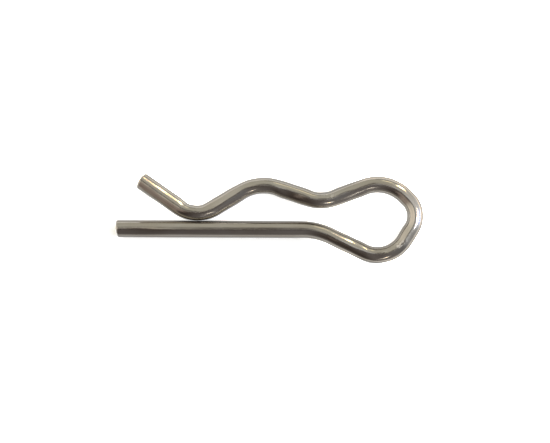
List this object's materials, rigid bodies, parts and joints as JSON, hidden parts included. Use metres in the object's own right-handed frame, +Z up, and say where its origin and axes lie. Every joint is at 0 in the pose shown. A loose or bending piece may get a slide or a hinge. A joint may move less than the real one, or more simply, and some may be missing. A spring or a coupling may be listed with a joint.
{
  "type": "snap pin",
  "caption": "Round spring wire bent flat: a straight leg for a shaft's cross hole and a humped, sprung leg that closes round the shaft, joined by a looped head, with a flared tail.",
  "frame": {"origin": "on the axis of the shaft that the pin holds, which is the centre of the hump's bend, at the level of the surface that the pin lies on", "axes": "+X along the straight leg towards the looped head, +Y from the straight leg towards the sprung leg, +Z up, square to the plane of the bent wire"},
  "size_m": [0.0744, 0.0214, 0.004],
  "materials": {
    "drawn_steel": "bright drawn wire, warm grey, faint draw lines along the wire"
  },
  "bodies": {
    "root": {"snap_pin": "drawn_steel"}
  },
  "joints": []
}
